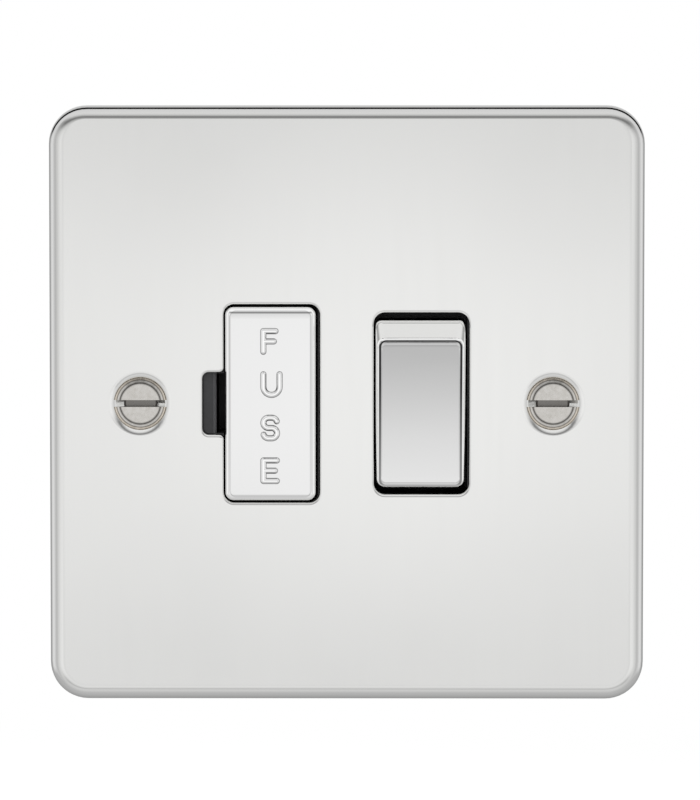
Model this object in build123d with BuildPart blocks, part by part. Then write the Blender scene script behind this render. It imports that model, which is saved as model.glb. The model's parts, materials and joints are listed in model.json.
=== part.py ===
import os
from math import cos, radians, sin, tan

from build123d import *

os.makedirs("parts", exist_ok=True)

# Switched fused connection unit with a flat plate, sizes in millimetres.
# X runs to the right, Y runs into the wall and Z runs up. The wall is the plane Y = 0.

# Front plate: a pressed pan with a rolled edge
plate_width = 87.0
plate_height = 87.0
plate_corner_radius = 5.6
plate_depth = 4.2
plate_sheet = 1.2
plate_edge_radius = 2.0
opening_lip_radius = 0.45

# Openings for the two controls, one each side of the centre line, and the drift of the controls in them
control_offset = 10.94
insert_drift = 0.16
fuse_opening_radius = 1.5
notch_width = 3.1
notch_height = 9.0
notch_radius = 0.9
notch_root_radius = 0.7
notch_pick = 0.01
rocker_opening_width = 13.85
rocker_opening_height = 26.5
rocker_opening_radius = 1.6

# Fixing screws at the standard spacing, each sunk in a pressed dimple
fixing_spacing = 60.3
dimple_radius = 4.7
dimple_lip_radius = 1.5
dimple_hole_radius = 1.95
dimple_depth = 2.8
dimple_slope = 45.0
fixing_thread_radius = 1.75
fixing_neck_radius = 1.55
fixing_neck_depth = 3.1
fixing_length = 25.0
fixing_head_radius = 3.75
fixing_disc_radius = 2.95
fixing_rim_height = 0.12
fixing_slot_width = 1.0
fixing_slot_depth = 1.6
fixing_tip_chamfer = 0.5

# Gaps
running_gap = 0.05
slide_gap = 0.3
seat_gap = 0.1
contact_gap = 0.02

# Mouldings behind the plate
body_side_wall = 1.1
body_end_wall = 1.3
body_corner_radius = 3.0
body_reach = 18.0
base_back_radius = 0.8
lug_scallop_radius = 6.4
well_radius = 1.2
panel_width = 36.0
panel_height = 26.0
panel_radius = 2.0
panel_drop = 0.5
panel_rib_width = 1.2
panel_rib_pitch = 6.5
ledge_width = 1.85
ledge_drop = 0.8
ledge_chamfer = 0.35
prise_depth = 6.0

# Rocker, shown with its lower end pressed
rocker_tilt = 10.0
rocker_side_gap = 0.35
rocker_end_clear = 2.3
rocker_side_taper = 0.1
rocker_end_taper = 2.0
rocker_face_reach = 8.0
rocker_knee_reach = 3.6
rocker_rim_reach = 1.75
rocker_proud = 0.2
rocker_dish_radius = 140.0
rocker_edge_radius = 1.0
rocker_front_corner = 1.5
rocker_rear_corner = 0.9
rocker_wall = 1.1
rocker_roof = 1.4
trunnion_radius = 1.5
trunnion_length = 2.6
yoke_step = 0.5
yoke_height = 14.0
yoke_reach = 1.8
tube_radius = 2.3
tube_reach = 4.6
plunger_radius = 1.4
plunger_guide_length = 3.0
spring_room = 2.8
spring_wire = 0.36
spring_turns = 4

# Contact levers, one for each pole
pole_offset = 3.4
lever_reach = 10.0
lever_tilt = 11.0
lever_width = 3.8
lever_sheet = 0.8
lever_upper_length = 9.6
lever_lower_length = 7.0
lever_hump_radius = 1.4
fulcrum_radius = 0.6
fulcrum_width = 3.6
plunger_rise = 0.15
tip_arm = 8.0
tip_radius = 1.5
tip_height = 0.9
tip_dome_radius = 2.5
fixed_tip_height = 0.7
strip_sheet = 0.7
strip_width = 3.8
link_drop = 4.4

# Fuse link, carrier and clips
fuse_length = 25.4
fuse_radius = 3.175
fuse_tube_radius = 2.95
fuse_end_length = 5.6
fuse_end_wall = 0.4
cover_width = 13.2
cover_end_margin = 1.425
cover_side_gap = 0.375
cover_end_gap = 0.305
cover_radius = 1.2
cover_edge_radius = 0.95
cover_proud = 1.2
cover_depth = 3.4
cover_wall = 1.1
carrier_depth = 4.2
carrier_travel = 13.5
carrier_stop_wall = 1.6
cradle_width = 9.4
cradle_height = 12.0
cradle_grip = 1.6
leg_inset = 2.0
leg_width = 2.2
leg_sheet = 1.0
lug_height = 0.9
lug_length = 1.4
clip_sheet = 0.6
clip_height = 4.6
clip_flare = 0.9
clip_mouth_drop = 0.4

# Terminals
terminal_width = 8.0
terminal_height = 9.0
terminal_depth = 9.0
terminal_chamfer = 0.4
terminal_inner_wall = 1.875
terminal_recess = 1.8
terminal_lip = 0.7
wire_radius = 2.1
wire_bore_depth = 7.6
wire_bore_offset = 3.9
clamp_thread_radius = 1.75
clamp_head_radius = 2.6
clamp_head_height = 1.4
clamp_slot_width = 0.8
clamp_slot_depth = 0.8
clamp_slot_angle = 30.0
supply_spread = 6.3

# Screws and pillars that hold the mouldings to the plate, and the earth strap
pillar_wall = 1.26
pillar_z = 10.5
pillar_radius = 2.6
pillar_end_wall = 1.0
assembly_thread_radius = 1.45
assembly_hole_radius = 1.6
assembly_head_radius = 2.7
assembly_head_height = 1.9
assembly_slot_width = 0.8
assembly_slot_depth = 1.0
assembly_slot_angle = 45.0
strap_sheet = 0.8
strap_width = 3.6
strap_ring_radius = 3.2
strap_tail = 5.0

# Widths and heights that follow: the fuse link sets its cover, and each opening fits its control
rocker_x = control_offset - insert_drift
fuse_x = -control_offset - insert_drift
line_x = rocker_x - pole_offset
neutral_x = rocker_x + pole_offset
cover_height = fuse_length + 2 * cover_end_margin
fuse_opening_width = cover_width + 2 * cover_side_gap
fuse_opening_height = cover_height + 2 * cover_end_gap
notch_root = -control_offset - fuse_opening_width / 2
notch_edge = notch_root - notch_width
ledge_edge = notch_edge + seat_gap + ledge_width
rocker_rear_width = rocker_opening_width - 2 * rocker_side_gap
rocker_face_width = rocker_rear_width - 2 * rocker_side_taper
rocker_face_height = rocker_opening_height - 2 * rocker_end_clear
rocker_rear_height = rocker_face_height + 2 * rocker_end_taper
yoke_width = rocker_rear_width - 2 * yoke_step
knee_swing = (rocker_rear_height**2 / 4 + rocker_knee_reach**2) ** 0.5
rocker_well_width = rocker_rear_width + 2 * slide_gap
rocker_well_height = 2 * (knee_swing + slide_gap)
lever_well_width = 2 * (pole_offset + tube_radius + slide_gap)
lever_well_height = 2 * (lever_upper_length + 2 * slide_gap)
guide_width = cover_width + 2 * slide_gap
guide_height = cover_height + 2 * slide_gap
clip_well_width = cradle_width + 2 * slide_gap
clip_well_height = fuse_length + 2 * slide_gap
leg_offset = cover_width / 2 - leg_inset
leg_outer = cover_height / 2
leg_inner = leg_outer - leg_sheet
lug_outer = guide_height / 2 + lug_height - slide_gap
terminal_inner = lug_outer + slide_gap + terminal_inner_wall
terminal_outer = terminal_inner + terminal_height
terminal_middle = terminal_inner + terminal_height / 2
pillar_x = control_offset + guide_width / 2 + pillar_radius + pillar_wall
body_width = 2 * (pillar_x + pillar_radius + body_side_wall)
body_height = 2 * (terminal_outer + body_end_wall)

# Depths along Y that follow from the sizes above
tilt = radians(rocker_tilt)
lean = radians(lever_tilt)
slope = radians(dimple_slope)
plate_front = -plate_depth
plate_inner = plate_front + plate_sheet
pivot = plate_front - rocker_proud - rocker_face_height / 2 * sin(tilt) + rocker_face_reach * cos(tilt)
parting = pivot
base_back = body_reach
rim_floor = pivot + rocker_rear_height / 2 * sin(tilt) - rocker_rim_reach * cos(tilt) + slide_gap
yoke_floor = pivot + yoke_height / 2 * sin(tilt) + yoke_reach * cos(tilt) + slide_gap
lever_pivot = pivot + lever_reach
dome_centre = lever_sheet / 2 + tip_height - tip_dome_radius
fixed_tip_front = lever_pivot + tip_arm * sin(lean) + dome_centre * cos(lean) + tip_dome_radius + contact_gap
strip_front = fixed_tip_front + fixed_tip_height
switch_floor = strip_front + strip_sheet
plunger_reach = lever_reach - lever_hump_radius - plunger_rise
cover_front = plate_front - cover_proud
cover_rear = cover_front + cover_depth
carrier_rear = cover_rear + carrier_depth
fuse_axis = carrier_rear + slide_gap + fuse_radius
clip_front = fuse_axis + fuse_radius + slide_gap
fuse_strip_front = clip_front + clip_sheet
fuse_floor = fuse_strip_front + strip_sheet
carrier_stop = plate_inner + carrier_stop_wall
lug_front = carrier_stop + carrier_travel + seat_gap
leg_end = lug_front + lug_length
terminal_back = base_back - terminal_recess
terminal_front = terminal_back - terminal_depth
wire_axis = terminal_front + wire_bore_offset

# The five terminals: distance across the unit, and 1 for the top row or -1 for the bottom row
terminal_places = {
    "line_supply_terminal": (rocker_x - supply_spread, 1),
    "neutral_supply_terminal": (rocker_x + supply_spread, 1),
    "earth_terminal": (fuse_x, 1),
    "line_load_terminal": (fuse_x, -1),
    "neutral_load_terminal": (neutral_x, -1),
}


def level(y):
    return Plane.XZ.offset(-y)


def fixing_section(x):
    return Plane(origin=(x, plate_front, 0), x_dir=(1, 0, 0), z_dir=(0, 0, 1))


def fixing_axis(x):
    return Axis((x, 0, 0), (0, 1, 0))


# The rocker's own frames: its face looks out along local Z, and its side profile is drawn across X
rocker_face = Plane(
    origin=(rocker_x, pivot, 0), x_dir=(1, 0, 0), z_dir=(0, -cos(tilt), -sin(tilt))
)
rocker_side = Plane(
    origin=(rocker_x, pivot, 0), x_dir=(0, -sin(tilt), cos(tilt)), z_dir=(1, 0, 0)
)


def lever_side(x):
    return Plane(origin=(x, lever_pivot, 0), x_dir=(0, sin(lean), cos(lean)), z_dir=(1, 0, 0))


# Front plate
with BuildPart() as front_plate:
    with BuildSketch(level(0)):
        RectangleRounded(plate_width, plate_height, plate_corner_radius)
    extrude(amount=plate_depth)
    fillet(front_plate.faces().sort_by(Axis.Y)[0].edges(), plate_edge_radius)
    offset(amount=-plate_sheet, openings=front_plate.faces().sort_by(Axis.Y)[-1])
    with BuildSketch(level(plate_front)):
        with Locations((control_offset, 0)):
            RectangleRounded(rocker_opening_width, rocker_opening_height, rocker_opening_radius)
    extrude(amount=-2 * plate_sheet, mode=Mode.SUBTRACT)
    with BuildSketch(level(plate_front)) as fuse_opening:
        with Locations((-control_offset, 0)):
            RectangleRounded(fuse_opening_width, fuse_opening_height, fuse_opening_radius)
        with Locations((notch_root, 0)):
            Rectangle(2 * notch_width, notch_height)
        notch_end = fuse_opening.vertices().group_by(Axis.X)[0]
        fillet(notch_end, notch_radius)
        root_corners = fuse_opening.vertices().filter_by_position(
            Axis.X, notch_root - notch_pick, notch_root + notch_pick
        )
        fillet(root_corners.filter_by_position(Axis.Y, -notch_height, notch_height), notch_root_radius)
    extrude(amount=-2 * plate_sheet, mode=Mode.SUBTRACT)
    opening_edges = front_plate.faces().sort_by(Axis.Y)[0].inner_wires().edges()
    fillet(opening_edges, opening_lip_radius)
    for side in (-1, 1):
        fixing_x = side * fixing_spacing / 2
        lip_inner = dimple_radius - dimple_lip_radius * sin(slope)
        lip_drop = dimple_lip_radius * (1 - cos(slope))
        with BuildSketch(fixing_section(fixing_x)):
            with BuildLine():
                Polyline(
                    (0, plate_sheet / 2),
                    (dimple_radius + plate_sheet, plate_sheet / 2),
                    (dimple_radius + plate_sheet, plate_sheet),
                    (dimple_hole_radius + plate_sheet, dimple_depth),
                    (0, dimple_depth),
                    close=True,
                )
            make_face()
        revolve(axis=fixing_axis(fixing_x))
        with BuildSketch(fixing_section(fixing_x)):
            with BuildLine():
                CenterArc(
                    (dimple_radius, dimple_lip_radius), dimple_lip_radius, -90 - dimple_slope, dimple_slope
                )
                Polyline(
                    (lip_inner, lip_drop),
                    (dimple_hole_radius, lip_drop + (lip_inner - dimple_hole_radius) * tan(slope)),
                    (dimple_hole_radius, 2 * dimple_depth),
                    (0, 2 * dimple_depth),
                    (0, -plate_sheet),
                    (dimple_radius, -plate_sheet),
                    (dimple_radius, 0),
                )
            make_face()
        revolve(axis=fixing_axis(fixing_x), mode=Mode.SUBTRACT)
front_plate.part.label = "front_plate"
export_step(front_plate.part, "parts/front_plate.step")

# Fixing screws: a low rim and a flat disc above the cone, a plain neck, then the threaded length
with BuildPart() as fixing_screws:
    for side in (-1, 1):
        fixing_x = side * fixing_spacing / 2
        rim_depth = lip_drop + (lip_inner - fixing_head_radius) * tan(slope) - running_gap
        cone_depth = (fixing_head_radius - fixing_neck_radius) * tan(slope)
        with BuildSketch(fixing_section(fixing_x)):
            with BuildLine():
                Polyline(
                    (0, 0),
                    (fixing_disc_radius, 0),
                    (fixing_head_radius, rim_depth - fixing_rim_height),
                    (fixing_head_radius, rim_depth),
                    (fixing_neck_radius, rim_depth + cone_depth),
                    (fixing_neck_radius, fixing_neck_depth),
                    (fixing_thread_radius, fixing_neck_depth),
                    (fixing_thread_radius, fixing_length - fixing_tip_chamfer),
                    (fixing_thread_radius - fixing_tip_chamfer, fixing_length),
                    (0, fixing_length),
                    close=True,
                )
            make_face()
        revolve(axis=fixing_axis(fixing_x))
        with BuildSketch(level(plate_front)):
            with Locations((fixing_x, 0)):
                Rectangle(3 * fixing_head_radius, fixing_slot_width)
        extrude(amount=-fixing_slot_depth, mode=Mode.SUBTRACT)
fixing_screws.part.label = "fixing_screws"
export_step(fixing_screws.part, "parts/fixing_screws.step")

# Threaded pillars brazed to the back of the plate
with BuildPart() as plate_pillars:
    with BuildSketch(level(parting)):
        with GridLocations(2 * pillar_x, 2 * pillar_z, 2, 2):
            Circle(pillar_radius)
            Circle(assembly_thread_radius + running_gap, mode=Mode.SUBTRACT)
    extrude(amount=parting - plate_inner)
    with BuildSketch(level(plate_inner)):
        with GridLocations(2 * pillar_x, 2 * pillar_z, 2, 2):
            Circle(pillar_radius)
    extrude(amount=-pillar_end_wall)
plate_pillars.part.label = "plate_pillars"
export_step(plate_pillars.part, "parts/plate_pillars.step")

# Front moulding: carries the two wells, the prising ledge and half of the rocker's bearings
with BuildPart() as front_moulding:
    with BuildSketch(level(parting)):
        RectangleRounded(body_width, body_height, body_corner_radius)
        with Locations((-fixing_spacing / 2, 0), (fixing_spacing / 2, 0)):
            Circle(lug_scallop_radius, mode=Mode.SUBTRACT)
    extrude(amount=parting - plate_inner)
    with BuildSketch(level(plate_inner)) as ledge:
        with Locations((notch_edge + seat_gap, 0)):
            Rectangle(
                ledge_width, notch_height - 2 * seat_gap, align=(Align.MIN, Align.CENTER)
            )
        fillet(ledge.vertices().group_by(Axis.X)[0], notch_radius - seat_gap)
    extrude(amount=plate_sheet - ledge_drop)
    ledge_lip = front_moulding.faces().sort_by(Axis.Y)[0].edges().sort_by(Axis.X)[-1]
    chamfer(ledge_lip, ledge_chamfer)
    with BuildSketch(level(plate_inner)):
        with Locations((rocker_x, 0)):
            RectangleRounded(rocker_well_width, rocker_well_height, rocker_rear_corner + slide_gap)
        with Locations((fuse_x, 0)):
            RectangleRounded(guide_width, guide_height, cover_radius)
        with Locations((ledge_edge, 0)):
            Rectangle(
                fuse_x - ledge_edge, notch_height - 2 * seat_gap, align=(Align.MIN, Align.CENTER)
            )
        with GridLocations(2 * pillar_x, 2 * pillar_z, 2, 2):
            Circle(pillar_radius + seat_gap)
    extrude(amount=-(parting - plate_inner), mode=Mode.SUBTRACT)
    with BuildSketch(level(parting)):
        with Locations((fuse_x - leg_offset, 0), (fuse_x + leg_offset, 0)):
            Rectangle(leg_width + 2 * slide_gap, 2 * (lug_outer + slide_gap))
    extrude(amount=parting - carrier_stop, mode=Mode.SUBTRACT)
    with BuildSketch(Plane.YZ.offset(rocker_x)):
        with Locations((pivot, 0)):
            Circle(trunnion_radius + running_gap)
    extrude(amount=yoke_width / 2 + trunnion_length + slide_gap, both=True, mode=Mode.SUBTRACT)
front_moulding.part.label = "front_moulding"
export_step(front_moulding.part, "parts/front_moulding.step")

# Base moulding: wells for the switch and the fuse, open pockets for the terminals
strap_corner = terminal_middle
strap_drop_x = fuse_x - terminal_width / 2
link_riser = (fuse_x + guide_width / 2 + rocker_x - rocker_well_width / 2) / 2
with BuildPart() as base_moulding:
    with BuildSketch(level(parting)):
        RectangleRounded(body_width, body_height, body_corner_radius)
        with Locations((-fixing_spacing / 2, 0), (fixing_spacing / 2, 0)):
            Circle(lug_scallop_radius, mode=Mode.SUBTRACT)
    extrude(amount=-(base_back - parting))
    fillet(base_moulding.faces().sort_by(Axis.Y)[-1].edges(), base_back_radius)
    for well_x, width, height, floor in (
        (rocker_x, rocker_well_width, rocker_well_height, rim_floor),
        (rocker_x, rocker_well_width, lever_well_height, yoke_floor),
        (rocker_x, lever_well_width, lever_well_height, switch_floor),
        (fuse_x, guide_width, guide_height, carrier_rear + slide_gap),
        (fuse_x, clip_well_width, clip_well_height, fuse_floor),
    ):
        with BuildSketch(level(parting)):
            with Locations((well_x, 0)):
                RectangleRounded(width, height, well_radius)
        extrude(amount=-(floor - parting), mode=Mode.SUBTRACT)
    with BuildSketch(level(parting)):
        with Locations((ledge_edge, 0)):
            Rectangle(
                fuse_x - ledge_edge, notch_height - 2 * seat_gap, align=(Align.MIN, Align.CENTER)
            )
    extrude(amount=-prise_depth, mode=Mode.SUBTRACT)
    with BuildSketch(level(parting)):
        for side in (-1, 1):
            with Locations((fuse_x - leg_offset, 0), (fuse_x + leg_offset, 0)):
                with Locations((0, side * (leg_inner + lug_outer) / 2)):
                    Rectangle(leg_width + 2 * slide_gap, lug_outer - leg_inner + 2 * slide_gap)
    extrude(amount=-(leg_end + slide_gap - parting), mode=Mode.SUBTRACT)
    with BuildSketch(level(fuse_strip_front - seat_gap)):
        with Locations((link_riser - strip_sheet - seat_gap, -link_drop)):
            Rectangle(
                rocker_x - link_riser, strip_width + 2 * seat_gap, align=(Align.MIN, Align.CENTER)
            )
    extrude(amount=-(switch_floor - fuse_strip_front + seat_gap), mode=Mode.SUBTRACT)
    with BuildSketch(level(fuse_strip_front - seat_gap)):
        with Locations((fuse_x, -link_drop)):
            Rectangle(
                link_riser - fuse_x, strip_width + 2 * seat_gap, align=(Align.MIN, Align.CENTER)
            )
    extrude(amount=-(fuse_floor - fuse_strip_front + seat_gap), mode=Mode.SUBTRACT)
    with BuildSketch(Plane.YZ.offset(rocker_x)):
        with Locations((pivot, 0)):
            Circle(trunnion_radius + running_gap)
    extrude(amount=yoke_width / 2 + trunnion_length + slide_gap, both=True, mode=Mode.SUBTRACT)
    for place_x, row in terminal_places.values():
        mouth = body_height / 2 - terminal_outer - seat_gap
        with BuildSketch(level(base_back)):
            with Locations((place_x, row * terminal_middle)):
                Rectangle(terminal_width + 2 * seat_gap, terminal_height + 2 * seat_gap)
            with Locations((place_x, row * (terminal_outer + mouth))):
                Rectangle(terminal_width - 2 * terminal_lip, 3 * mouth)
        extrude(amount=terminal_depth + terminal_recess + seat_gap, mode=Mode.SUBTRACT)
    for strip_x, row in ((line_x, 1), (neutral_x, 1), (neutral_x, -1)):
        with BuildSketch(Plane.XY):
            with Locations((strip_x, strip_front)):
                Rectangle(
                    strip_width + 2 * seat_gap, strip_sheet, align=(Align.CENTER, Align.MIN)
                )
        extrude(amount=row * (terminal_inner + seat_gap), mode=Mode.SUBTRACT)
    with BuildSketch(Plane.XY):
        with Locations((fuse_x, fuse_strip_front)):
            Rectangle(strip_width + 2 * seat_gap, strip_sheet, align=(Align.CENTER, Align.MIN))
    extrude(amount=-(terminal_inner + seat_gap), mode=Mode.SUBTRACT)
    with BuildSketch(level(base_back)):
        with GridLocations(2 * pillar_x, 2 * pillar_z, 2, 2):
            Circle(assembly_hole_radius)
    extrude(amount=base_back - parting, mode=Mode.SUBTRACT)
    with BuildSketch(level(base_back)):
        RectangleRounded(panel_width, panel_height, panel_radius)
        with GridLocations(0, panel_rib_pitch, 1, 3):
            Rectangle(panel_width, panel_rib_width, mode=Mode.SUBTRACT)
    extrude(amount=panel_drop, mode=Mode.SUBTRACT)
    with BuildSketch(level(base_back)):
        with Locations((-pillar_x, pillar_z)):
            Circle(strap_ring_radius + seat_gap)
            Rectangle(
                strap_width + 2 * seat_gap,
                strap_corner - pillar_z + strap_width / 2 + seat_gap,
                align=(Align.CENTER, Align.MIN),
            )
        with Locations((-pillar_x, strap_corner)):
            Rectangle(
                strap_drop_x + pillar_x, strap_width + 2 * seat_gap, align=(Align.MIN, Align.CENTER)
            )
    extrude(amount=strap_sheet, mode=Mode.SUBTRACT)
    with BuildSketch(level(base_back)):
        with Locations((strap_drop_x, strap_corner)):
            Rectangle(
                strap_sheet + seat_gap, strap_width + 2 * seat_gap, align=(Align.MAX, Align.CENTER)
            )
    extrude(amount=strap_sheet + strap_tail, mode=Mode.SUBTRACT)
base_moulding.part.label = "base_moulding"
export_step(base_moulding.part, "parts/base_moulding.step")

# Pan-head screws from the back into the pillars
with BuildPart() as assembly_screws:
    with BuildSketch(level(base_back)):
        with GridLocations(2 * pillar_x, 2 * pillar_z, 2, 2):
            Circle(assembly_head_radius)
    extrude(amount=-assembly_head_height)
    fillet(assembly_screws.faces().sort_by(Axis.Y)[-4:].edges(), assembly_head_height / 2)
    with BuildSketch(level(base_back)):
        with GridLocations(2 * pillar_x, 2 * pillar_z, 2, 2):
            Circle(assembly_thread_radius)
    extrude(amount=base_back - plate_inner - 2 * pillar_end_wall)
    with BuildSketch(level(base_back + assembly_head_height)):
        with GridLocations(2 * pillar_x, 2 * pillar_z, 2, 2):
            Rectangle(3 * assembly_head_radius, assembly_slot_width, rotation=assembly_slot_angle)
    extrude(amount=assembly_slot_depth, mode=Mode.SUBTRACT)
assembly_screws.part.label = "assembly_screws"
export_step(assembly_screws.part, "parts/assembly_screws.step")

# Earth strap: a ring under one screw, an arm let into the back and a tail against the earth terminal
with BuildPart() as earth_strap:
    with BuildSketch(level(base_back)):
        with Locations((-pillar_x, pillar_z)):
            Circle(strap_ring_radius)
            Rectangle(
                strap_width, strap_corner - pillar_z + strap_width / 2, align=(Align.CENTER, Align.MIN)
            )
        with Locations((-pillar_x, strap_corner)):
            Rectangle(strap_drop_x + pillar_x, strap_width, align=(Align.MIN, Align.CENTER))
        with Locations((-pillar_x, pillar_z)):
            Circle(assembly_hole_radius, mode=Mode.SUBTRACT)
    extrude(amount=strap_sheet)
    with BuildSketch(level(base_back)):
        with Locations((strap_drop_x, strap_corner)):
            Rectangle(strap_sheet, strap_width, align=(Align.MAX, Align.CENTER))
    extrude(amount=strap_sheet + strap_tail)
earth_strap.part.label = "earth_strap"
export_step(earth_strap.part, "parts/earth_strap.step")


# Terminals: a brass block with a wire bore in its outer end and a clamp screw from the back
def terminal_block(place_x, row):
    with BuildPart() as block:
        with BuildSketch(level(terminal_back)):
            with Locations((place_x, row * terminal_middle)):
                Rectangle(terminal_width, terminal_height)
        extrude(amount=terminal_depth)
        chamfer(block.edges(), terminal_chamfer)
        with BuildSketch(Plane.XY.offset(row * terminal_outer)):
            with Locations((place_x, wire_axis)):
                Circle(wire_radius)
        extrude(amount=-row * wire_bore_depth, mode=Mode.SUBTRACT)
        with BuildSketch(level(terminal_back)):
            with Locations((place_x, row * terminal_middle)):
                Circle(clamp_thread_radius + running_gap)
        extrude(amount=terminal_back - wire_axis, mode=Mode.SUBTRACT)
    return block.part


for terminal_name, (place_x, row) in terminal_places.items():
    terminal = terminal_block(place_x, row)
    terminal.label = terminal_name
    export_step(terminal, f"parts/{terminal_name}.step")

with BuildPart() as terminal_screws:
    clamp_places = [(place_x, row * terminal_middle) for place_x, row in terminal_places.values()]
    with BuildSketch(level(terminal_back)):
        with Locations(*clamp_places):
            Circle(clamp_head_radius)
    extrude(amount=-clamp_head_height)
    with BuildSketch(level(terminal_back)):
        with Locations(*clamp_places):
            Circle(clamp_thread_radius)
    extrude(amount=terminal_back - wire_axis - wire_radius - seat_gap)
    with BuildSketch(level(terminal_back + clamp_head_height)):
        with Locations(*clamp_places):
            Rectangle(3 * clamp_head_radius, clamp_slot_width, rotation=clamp_slot_angle)
    extrude(amount=clamp_slot_depth, mode=Mode.SUBTRACT)
terminal_screws.part.label = "terminal_screws"
export_step(terminal_screws.part, "parts/terminal_screws.step")

# Rocker cap: a shell with a straight skirt up to the knee, sloping ends and a dished face
with BuildPart() as rocker_cap:
    with BuildSketch(rocker_face.offset(rocker_rim_reach)):
        RectangleRounded(rocker_rear_width, rocker_rear_height, rocker_rear_corner)
    extrude(amount=rocker_knee_reach - rocker_rim_reach)
    with BuildSketch(rocker_face.offset(rocker_knee_reach)):
        RectangleRounded(rocker_rear_width, rocker_rear_height, rocker_rear_corner)
    with BuildSketch(rocker_face.offset(rocker_face_reach)):
        RectangleRounded(rocker_face_width, rocker_face_height, rocker_front_corner)
    loft()
    dish_depth = rocker_face_height**2 / 8 / rocker_dish_radius
    with BuildSketch(rocker_side):
        with Locations((0, rocker_face_reach - dish_depth + rocker_dish_radius)):
            Circle(rocker_dish_radius)
    extrude(amount=rocker_face_width, both=True, mode=Mode.SUBTRACT)
    dish = rocker_cap.faces().filter_by(GeomType.CYLINDER).sort_by(SortBy.AREA)[-1]
    fillet(dish.edges(), rocker_edge_radius)
    with BuildSketch(rocker_face.offset(rocker_rim_reach)):
        RectangleRounded(
            rocker_rear_width - 2 * rocker_wall,
            rocker_rear_height - 2 * rocker_wall,
            rocker_rear_corner - rocker_wall / 2,
        )
    with BuildSketch(rocker_face.offset(rocker_face_reach - dish_depth - rocker_roof)):
        RectangleRounded(
            rocker_face_width - 2 * rocker_wall,
            rocker_face_height - 2 * rocker_wall,
            rocker_front_corner - rocker_wall / 2,
        )
    loft(mode=Mode.SUBTRACT)
rocker_cap.part.label = "rocker_cap"
export_step(rocker_cap.part, "parts/rocker_cap.step")

# Rocker yoke: fills the cap, turns on two trunnions and guides the plungers
with BuildPart() as rocker_yoke:
    with BuildSketch(rocker_face.offset(rocker_rim_reach)):
        RectangleRounded(
            rocker_rear_width - 2 * rocker_wall - 2 * running_gap,
            rocker_rear_height - 2 * rocker_wall - 2 * running_gap,
            rocker_rear_corner - rocker_wall / 2,
        )
    with BuildSketch(rocker_face.offset(rocker_face_reach - dish_depth - rocker_roof - running_gap)):
        RectangleRounded(
            rocker_face_width - 2 * rocker_wall - 2 * running_gap,
            rocker_face_height - 2 * rocker_wall - 2 * running_gap,
            rocker_front_corner - rocker_wall / 2,
        )
    loft()
    with BuildSketch(rocker_face.offset(rocker_rim_reach)):
        RectangleRounded(yoke_width, yoke_height, well_radius)
    extrude(amount=-(rocker_rim_reach + yoke_reach))
    with BuildSketch(rocker_side):
        Circle(trunnion_radius)
    extrude(amount=yoke_width / 2 + trunnion_length, both=True)
    with BuildSketch(rocker_face):
        with Locations((-pole_offset, 0), (pole_offset, 0)):
            Circle(tube_radius)
    extrude(amount=-tube_reach)
    with BuildSketch(rocker_face.offset(-tube_reach)):
        with Locations((-pole_offset, 0), (pole_offset, 0)):
            Circle(plunger_radius + running_gap)
    extrude(amount=plunger_guide_length + spring_room, mode=Mode.SUBTRACT)
rocker_yoke.part.label = "rocker_yoke"
export_step(rocker_yoke.part, "parts/rocker_yoke.step")

# Plungers: round-nosed pins that press on the contact levers
plunger_top = tube_reach - plunger_guide_length
with BuildPart() as plungers:
    for offset_x in (-pole_offset, pole_offset):
        plunger_axis = Axis(
            rocker_face.from_local_coords((offset_x, 0, 0)), rocker_face.z_dir
        )
        with BuildSketch(Plane(
            origin=rocker_face.from_local_coords((offset_x, 0, 0)),
            x_dir=(1, 0, 0),
            z_dir=-rocker_face.y_dir,
        )):
            with BuildLine():
                Polyline(
                    (plunger_radius, -plunger_reach + plunger_radius),
                    (plunger_radius, -plunger_top),
                    (0, -plunger_top),
                    (0, -plunger_reach),
                )
                CenterArc((0, -plunger_reach + plunger_radius), plunger_radius, -90, 90)
            make_face()
        revolve(axis=plunger_axis)
plungers.part.label = "plungers"
export_step(plungers.part, "parts/plungers.step")

# Plunger springs, each in its tube between the tube's end and the plunger
with BuildPart() as plunger_springs:
    spring_radius = plunger_radius - spring_wire / 2
    for offset_x in (-pole_offset, pole_offset):
        spring_foot = rocker_face.from_local_coords((offset_x, 0, -plunger_top + spring_wire / 2))
        with BuildLine():
            coil = Helix(
                pitch=(spring_room - spring_wire) / spring_turns,
                height=spring_room - spring_wire,
                radius=spring_radius,
                center=spring_foot,
                direction=rocker_face.z_dir,
            )
        with BuildSketch(Plane(coil ^ 0)):
            Circle(spring_wire / 2)
        sweep(path=coil, is_frenet=True)
plunger_springs.part.label = "plunger_springs"
export_step(plunger_springs.part, "parts/plunger_springs.step")


# Contact levers: a strip with a hump over the fulcrum, and a domed silver tip at the upper end
def contact_lever(pole_x):
    half = lever_sheet / 2
    mouth = fulcrum_radius + 2 * running_gap + half * sin(lean)
    with BuildPart() as lever:
        with BuildSketch(lever_side(pole_x)):
            with Locations((-lever_lower_length, 0)):
                Rectangle(
                    lever_lower_length + lever_upper_length, lever_sheet, align=(Align.MIN, Align.CENTER)
                )
            Circle(lever_hump_radius)
            with Locations((0, -half)):
                Rectangle(
                    3 * lever_hump_radius,
                    lever_hump_radius,
                    align=(Align.CENTER, Align.MAX),
                    mode=Mode.SUBTRACT,
                )
            Circle(fulcrum_radius + running_gap, mode=Mode.SUBTRACT)
            with BuildLine():
                Polyline(
                    (-fulcrum_radius - running_gap, 0),
                    (fulcrum_radius + running_gap, 0),
                    (mouth, -lever_sheet),
                    (-mouth, -lever_sheet),
                    close=True,
                )
            make_face(mode=Mode.SUBTRACT)
        extrude(amount=lever_width / 2, both=True)
    return lever.part


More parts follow.
